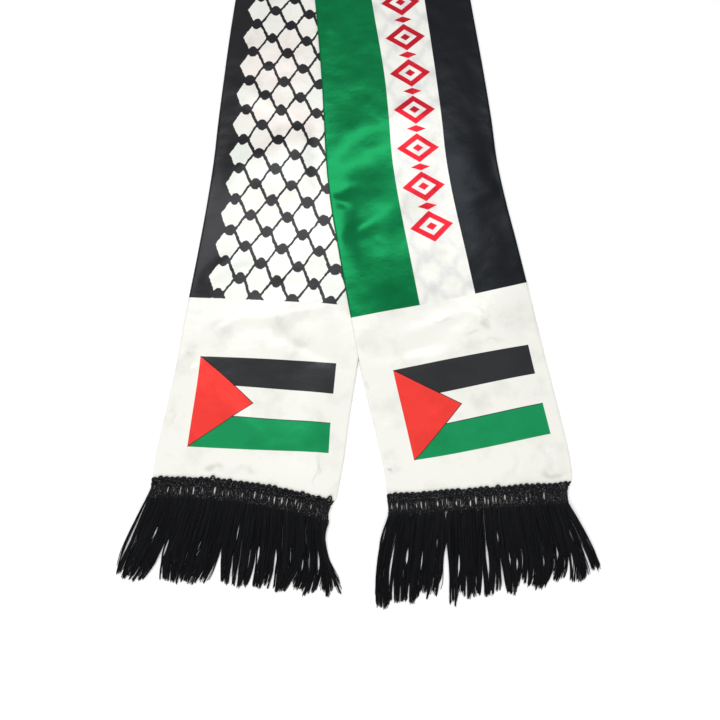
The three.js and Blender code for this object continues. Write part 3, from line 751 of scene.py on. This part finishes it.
def yarn_piece(name, skins, material):
    """One mesh from several sets of tubes; each point keeps its yarn's shade."""
    points, faces, shades = [], [], []
    for (new_points, new_faces), shade in skins:
        start = sum(len(x) for x in points)
        faces += [[start + i for i in face] for face in new_faces]
        points.append(new_points)
        shades.append(np.repeat(shade, len(new_points) // len(shade)))
    made = bpy.data.meshes.new(name)
    made.from_pydata((np.concatenate(points) * MM).tolist(), [], faces)
    made.attributes.new("shade", "FLOAT", "POINT").data.foreach_set("value", np.concatenate(shades))
    made.materials.append(material)
    made.polygons.foreach_set("use_smooth", [True] * len(made.polygons))
    made.update()
    piece = bpy.data.objects.new(name, made)
    scene.collection.objects.link(piece)
    return piece


def yarn_material(name, light, roughness, painted_glinting):
    """Black spun yarn: matt and slightly hairy, with fibres drawn about 1 mm apart, coarser than the
    real ones, each yarn a little different in depth of dye, and light specks painted into its colour as
    glints."""
    made, tree = new_material(name)
    shade = add(tree, "ShaderNodeAttribute", attribute_name="shade", out=2)
    place = add(tree, "ShaderNodeTexCoord", out=3)
    fibre = add(tree, "ShaderNodeTexNoise", {"Vector": place, "Scale": 900.0, "Detail": 2.0})
    # Painted highlight: small noise specks of light grey mixed into the yarn's colour as glints
    painted_glint = add(tree, "ShaderNodeTexNoise", {"Vector": place, "Scale": 1300.0, "Detail": 1.0})
    painted_glint = add(tree, "ShaderNodeMapRange", {0: painted_glint, 1: 0.64, 2: 0.72, 3: 0.0, 4: painted_glinting})
    dyes = [(shade, srgb(light)), (fibre, srgb(YARN_BLACK)), (painted_glint, srgb(YARN_PAINTED_GLINT))]
    dyed = print_inks(tree, srgb(YARN_SHADE), dyes)
    bump = add(tree, "ShaderNodeBump", {"Strength": 0.4, "Distance": 0.0002, "Height": fibre})
    spun = {"Base Color": dyed, "Roughness": roughness, "Specular IOR Level": 0.14, "Normal": bump}
    shader = add(tree, "ShaderNodeBsdfPrincipled", spun)
    add(tree, "ShaderNodeOutputMaterial", {"Surface": shader})
    return made


def heading_path(side, u, v, z):
    """Points on a heading: u from the centre line, v down from its top edge, z above the cloth."""
    below = STRETCH_LENGTH - HEADING_DEPTH + v
    path = flat_point(side, below, u / HALF_WIDTH, UNDERSIDE + TUBE_DEPTH + z)[0]
    at_corner = smooth((-u / HALF_WIDTH - SPLAY_EDGE) / SPLAY_OVER)
    path[..., 0] += SPLAY[side] * np.maximum(v - SPLAY_FROM, 0) * at_corner
    return path


def make_heading(side, seed):
    """The braid across one end."""
    rng = np.random.default_rng(seed)
    first, last = HEADING_SPAN[side]
    u = np.linspace(first, last, int((last - first) / HEADING_STEP))
    far, size, step = HEADING_DRIFT
    drift = far * ripple(u, u * 0, size, seed + step)
    far, size, step = HEADING_SWELL
    swell = 1 + far * ripple(u, u * 0, size, seed + step)
    skins = []
    # The plaited chain, over straight yarns
    yarns = [heading_path(side, u, row + drift, PLAIT_LEVEL + 0 * u) for row in PLAIT_ROWS]
    for k in range(4):
        turn = 2 * math.pi * u / PLAIT_PERIOD + k * math.pi / 2
        rise = PLAIT_RISE[0] + PLAIT_RISE[1] * np.sin(2 * turn)
        v = PLAIT_ROWS[1] + drift + PLAIT_SWING * swell * np.sin(turn)
        yarns.append(heading_path(side, u, v, rise))
    yarns = np.array(yarns)
    thick = np.full(yarns.shape[:2], PLAIT_RADIUS)
    skins.append((tube_skin(yarns, thick, YARN_SIDES), rng.random(len(yarns))))
    # The picots
    loop = np.floor((u - first) / PICOT_PITCH).astype(int)
    size = rng.uniform(*PICOT_SIZES, loop.max() + 1)
    for place, bigger in BIG_LOOPS[side]:
        size[int((place + 1) / 2 * loop.max())] = bigger
    arch = np.abs(np.sin(math.pi * (u - first) / PICOT_PITCH)) ** PICOT_ROUND * size[loop]
    rise = PICOT_RISE[0] + PICOT_RISE[1] * arch
    rows = [PICOT_ROOT + drift - height * arch for height in PICOT_HEIGHTS]
    picots = np.array([heading_path(side, u, v, rise) for v in rows])
    thick = np.full(picots.shape[:2], PICOT_RADIUS)
    skins.append((tube_skin(picots, thick, YARN_SIDES), rng.random(len(picots))))
    # The bars, pushed apart at each slit over a part of their length
    bar = np.arange(first + BAR_ENDS[0], last - BAR_ENDS[1], BAR_PITCH)[:, None]
    share = np.linspace(0, 1, BAR_POINTS)[None]
    moved = bar + rng.uniform(-BAR_STRAY, BAR_STRAY, bar.shape) * share
    for slit, width in SLITS[side]:
        start, end = rng.uniform(*SLIT_START), rng.uniform(*SLIT_END)
        lens = np.sin(math.pi * np.clip((share - start) / (end - start), 0, 1)) ** 0.5
        gap = bar - slit - HEADING_MIDDLE[side]
        apart = (width * SLIT_SHARE / 2 + BAR_RADIUS) * lens
        push = np.maximum(apart - np.abs(gap), 0) * np.where(gap < 0, -1.0, 1.0)
        moved = moved + push
    down = BARS_FROM + (BARS_TO - BARS_FROM) * share + 0 * bar
    bars = heading_path(side, moved, down, BAR_RISE[0] + BAR_RISE[1] * np.sin(share * math.pi))
    waist = BAR_WAIST[0] + BAR_WAIST[1] * np.abs(share - 0.5)
    thick = rng.uniform(*BAR_THICK, bar.shape) * BAR_RADIUS * waist
    skins.append((tube_skin(bars, thick, YARN_SIDES), rng.random(len(bars))))
    # The lower chain
    yarns = []
    for k in range(3):
        turn = 2 * math.pi * u / LOWER_PERIOD + k * 2 * math.pi / 3
        rise = LOWER_RISE[0] + LOWER_RISE[1] * np.sin(2 * turn)
        v = LOWER_CHAIN + drift * LOWER_DRIFT + LOWER_SWING * np.sin(turn)
        yarns.append(heading_path(side, u, v, rise))
    yarns = np.array(yarns)
    thick = np.full(yarns.shape[:2], LOWER_RADIUS)
    skins.append((tube_skin(yarns, thick, YARN_SIDES), rng.random(len(yarns))))
    piece = yarn_piece(side + "_heading_braid", skins, heading_yarn)
    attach(piece, "root")
    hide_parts(side + "_heading")
    return piece


# Hard-spun acrylic, worked tight: nearly black, with small light specks painted into its colour as glints
heading_yarn = yarn_material("black_acrylic_crochet_yarn", CROCHET_LIGHT, 0.5, CROCHET_PAINTED_GLINT)
left_braid = make_heading("left", 11)
right_braid = make_heading("right", 23)

# ---------------------------------------------------------------------------------------------------
# Cut fringes. Loose black yarns hung from each heading's lower chain; they lie close together as one
# dense mass of uneven locks, parted by notches and narrow slits, and fray into points at the cut ends.
CLUMPS = 66
YARNS_PER_CLUMP = 21
FRINGE_YARN_RADIUS = 0.35
FRINGE_SIDES, FRINGE_POINTS = 3, 15
YARN_THICK, YARN_TAPER = (0.8, 1.2), 0.4
YARN_SHADES = (0.35, 0.25)  # depth of dye: its mean and spread
FRINGE_FROM = 16.0  # below the heading's top edge
YARN_STITCHES = ((13.2, 0.2), (14.4, 1.0), (15.4, 0.9))  # a yarn's way round the lower chain
SLIT_FADE = 0.045
SLIT_CLEAR = 0.42  # a slit's yarns keep this much farther apart than its width
LOCK_BULGE = 2.6
TIP_CURVE = 4.6  # how late a lock's yarns turn towards its tip
CLUMP_SPREAD, ROOT_MOST = 1.2, 0.998  # share of a clump's pitch, and of the heading's half width
CLUMP_REACH, YARN_REACH = 1.3, 0.012  # how much the length varies: clumps in millimetres, yarns in share
SHORT_SHARE, SHORT_MOST = 0.35, 0.12  # how many yarns are shorter still, and by how much at most
POINT_FROM, POINT_SHARE = 0.72, 0.55  # where a clump starts to draw into its point, and how far
STRAY_CLUMP, STRAY_WAVE, STRAY_TIP = 0.5, 0.22, 0.45
LOOSE_SHARE, LOOSE_MOST = 0.012, 3.5  # how many yarns bow out of the mass, and how far
PILE_LOW, PILE_DEEP, PILE_CLUMP = 0.42, 2.2, 0.7  # how high the yarns lie on each other
PILE_SETTLES, PILE_ENDS, PILE_LEAST = 0.4, 0.45, 0.4
ROOT_RISE = (0.7, 1.1)
FAN = {"left": (-94.0, 82.5), "right": (91.3, 82.0)}  # middle and half width of the spread-out tips
LOCKS = {  # root from, to; tip from, to (shares of the spread); reach from, to; bow of the middle
    "left": [
        (-1.0, -0.65, -0.972, -0.732, 51.5, 55, 0), (-0.65, -0.12, -0.581, -0.182, 55, 54.5, 0),
        (-0.12, 0.2225, -0.061, 0.169, 54.5, 53, 0), (0.2225, 0.4, 0.217, 0.354, 55, 51, 0),
        (0.4, 0.65, 0.399, 0.502, 54.5, 50, 0), (0.65, 0.85, 0.554, 0.778, 51.5, 48, -1),
        (0.85, 0.955, 0.804, 0.933, 50, 46.5, -3), (0.955, 1.0, 0.95, 0.993, 44, 46, -6),
    ],
    "right": [
        (-1.0, -0.87, -0.98, -0.85, 59.5, 61, -2), (-0.87, -0.36, -0.837, -0.425, 60, 52, -1),
        (-0.36, -0.25, -0.335, -0.275, 61, 61, 0), (-0.25, 0.14, -0.25, 0.1, 57, 55.5, 0),
        (0.14, 0.35, 0.164, 0.264, 57, 54.5, 0), (0.35, 0.66, 0.302, 0.526, 52, 54.5, 0),
        (0.66, 0.785, 0.548, 0.672, 50.5, 48, 0), (0.785, 0.915, 0.721, 0.88, 51, 48.5, 0),
        (0.915, 1.0, 0.903, 0.987, 44.5, 43, 1),
    ],
}
PARTINGS = {  # narrow slits in the mass: root, from and to as shares of the length, width
    "left": [
        (-0.985, 0.02, 1.0, 0.9), (-0.78, 0.33, 0.6, 1.4), (-0.61, 0.28, 0.5, 0.9),
        (-0.64, 0.48, 0.8, 1.1), (-0.326, 0.45, 0.74, 1.3), (-0.16, 0.41, 0.6, 0.6),
        (0.004, 0.24, 0.52, 0.5), (0.03, 0.56, 0.76, 0.9), (0.234, 0.48, 0.7, 0.6),
        (0.399, 0.5, 0.82, 0.8), (0.546, 0.4, 0.74, 0.6), (0.656, 0.32, 0.58, 1.0),
        (0.68, 0.58, 0.86, 0.5), (0.736, 0.42, 0.76, 0.7), (0.825, 0.4, 0.88, 0.8),
        (-0.42, 0.6, 0.86, 0.5), (0.86, -0.08, 0.1, 0.4), (-0.2, 0.58, 0.82, 0.6),
        (-0.88, 0.7, 0.95, 0.6),
    ],
    "right": [
        (-0.985, 0.1, 0.4, 0.6), (-0.87, 0.28, 0.85, 0.6), (-0.73, 0.36, 0.66, 1.6),
        (-0.76, 0.6, 0.84, 0.5), (-0.587, 0.44, 0.74, 0.5), (-0.36, 0.42, 0.9, 1.6),
        (-0.25, 0.48, 0.8, 0.8), (0.024, 0.42, 0.78, 0.6), (0.143, 0.24, 0.44, 0.9),
        (0.232, 0.5, 0.72, 0.5), (0.558, 0.56, 0.82, 0.5), (0.685, 0.58, 0.8, 0.6),
        (0.806, 0.62, 0.95, 0.7), (0.857, 0.3, 0.55, 0.6), (-0.45, 0.3, 0.5, 0.4),
        (0.3, 0.6, 0.82, 0.5), (-0.76, -0.1, 0.05, 0.6), (-0.66, -0.09, 0.05, 0.4),
        (-0.55, -0.09, 0.06, 0.7), (-0.38, -0.1, 0.08, 1.5), (-0.215, -0.1, 0.06, 0.9),
        (-0.036, -0.1, 0.05, 0.7), (0.165, -0.1, 0.03, 0.5),
    ],
}


def parted(side, root, share):
    """How far the slits push each yarn aside, at each share of its length."""
    push = np.zeros_like(share)
    for place, start, end, width in PARTINGS[side]:
        lens = np.sin(math.pi * np.clip((share - start) / (end - start), 0, 1))
        open_by = width / 2 * lens + SLIT_CLEAR * np.sqrt(lens)
        push += (np.sign(root - place) * np.exp(-np.abs(root - place) / SLIT_FADE))[:, None] * open_by
    return push


def make_fringe(side, seed):
    """All the loose yarns of one end."""
    rng = np.random.default_rng(seed)
    clump = np.repeat(np.arange(CLUMPS), YARNS_PER_CLUMP)
    count = len(clump)
    offset = rng.uniform(-CLUMP_SPREAD, CLUMP_SPREAD, count) / CLUMPS
    root = np.clip((clump + 0.5) / CLUMPS * 2 - 1 + offset, -ROOT_MOST, ROOT_MOST)
    table = np.array(LOCKS[side], float)
    lock = table[np.clip(np.searchsorted(table[:, 0], root, side="right") - 1, 0, len(table) - 1)]
    part = np.clip((root - lock[:, 0]) / (lock[:, 1] - lock[:, 0]), 0, 1)
    tip = lock[:, 2] + (lock[:, 3] - lock[:, 2]) * part
    reach = lock[:, 4] + (lock[:, 5] - lock[:, 4]) * part + LOCK_BULGE * (1 - (2 * part - 1) ** 2)
    reach += rng.normal(0, CLUMP_REACH, CLUMPS)[clump]
    longer = 1 + rng.normal(0, YARN_REACH, count)
    reach *= longer - (rng.random(count) < SHORT_SHARE) * rng.uniform(0, SHORT_MOST, count)
    share = np.broadcast_to(np.linspace(0, 1, FRINGE_POINTS + 1)[1:], (count, FRINGE_POINTS))
    middle, half = FAN[side]
    # Where each yarn runs, seen from above
    first, last = HEADING_SPAN[side]
    across = (first + last) / 2 + (last - first) / 2 * root
    roots = heading_path(side, across, np.full(count, FRINGE_FROM), 0.0)
    even = middle + CENTRE_X + half * root[:, None]
    ends = middle + CENTRE_X + half * tip[:, None]
    x = roots[:, :1] + (even - roots[:, :1]) * share + (ends - even) * share**TIP_CURVE
    x += lock[:, 6:7] * np.sin(math.pi * share**0.8) + parted(side, root, share)
    x -= (offset * half)[:, None] * POINT_SHARE * smooth((share - POINT_FROM) / (1 - POINT_FROM))
    x += rng.normal(0, STRAY_CLUMP, CLUMPS)[clump][:, None] * share**2
    x += rng.normal(0, STRAY_WAVE, count)[:, None] * np.sin(math.pi * 1.5 * share)
    x += rng.normal(0, STRAY_TIP, count)[:, None] * share**4
    loose = (rng.random(count) < LOOSE_SHARE) * rng.uniform(-LOOSE_MOST, LOOSE_MOST, count)
    x += loose[:, None] * np.sin(math.pi * share)
    y = roots[:, 1:2] - reach[:, None] * share
    # How high: off the cloth's end, then down to the table, yarn on yarn
    pile = rng.uniform(0.0, 1.0, count)
    resting = PILE_LOW + PILE_DEEP * pile + rng.uniform(0.0, PILE_CLUMP, CLUMPS)[clump]
    high = (UNDERSIDE + TUBE_DEPTH + ROOT_RISE[0] + ROOT_RISE[1] * pile)[:, None]
    z = high + (resting[:, None] * (1 - PILE_ENDS * share) - high) * smooth(share / PILE_SETTLES)
    hung = np.stack([x, y, np.maximum(z, PILE_LEAST)], axis=-1)
    stitched = []
    for v, rise in YARN_STITCHES:
        aside = parted(side, root, (v - FRINGE_FROM) / reach[:, None])[:, 0]
        stitched.append(heading_path(side, across + aside, np.full(count, v), rise + pile * (v > 14)))
    paths = np.concatenate([np.stack(stitched, axis=1), hung], axis=1)
    taper = 1 - YARN_TAPER * np.linspace(0, 1, FRINGE_POINTS) ** 2
    taper = np.concatenate([np.ones(len(YARN_STITCHES)), taper])
    radii = FRINGE_YARN_RADIUS * rng.uniform(*YARN_THICK, count)[:, None] * taper[None]
    shade = np.clip(rng.normal(*YARN_SHADES, count), 0, 1)
    skins = [(tube_skin(paths, radii, FRINGE_SIDES), shade)]
    piece = yarn_piece(side + "_fringe_yarns", skins, fringe_yarn)
    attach(piece, "root")
    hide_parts(side + "_fringe")
    return piece


# Loosely spun viscose: soft, deep black, with an even low sheen and no glints
fringe_yarn = yarn_material("black_viscose_fringe_yarn", YARN_LIGHT, 0.55, 0.0)
left_yarns = make_fringe("left", 31)
right_yarns = make_fringe("right", 47)
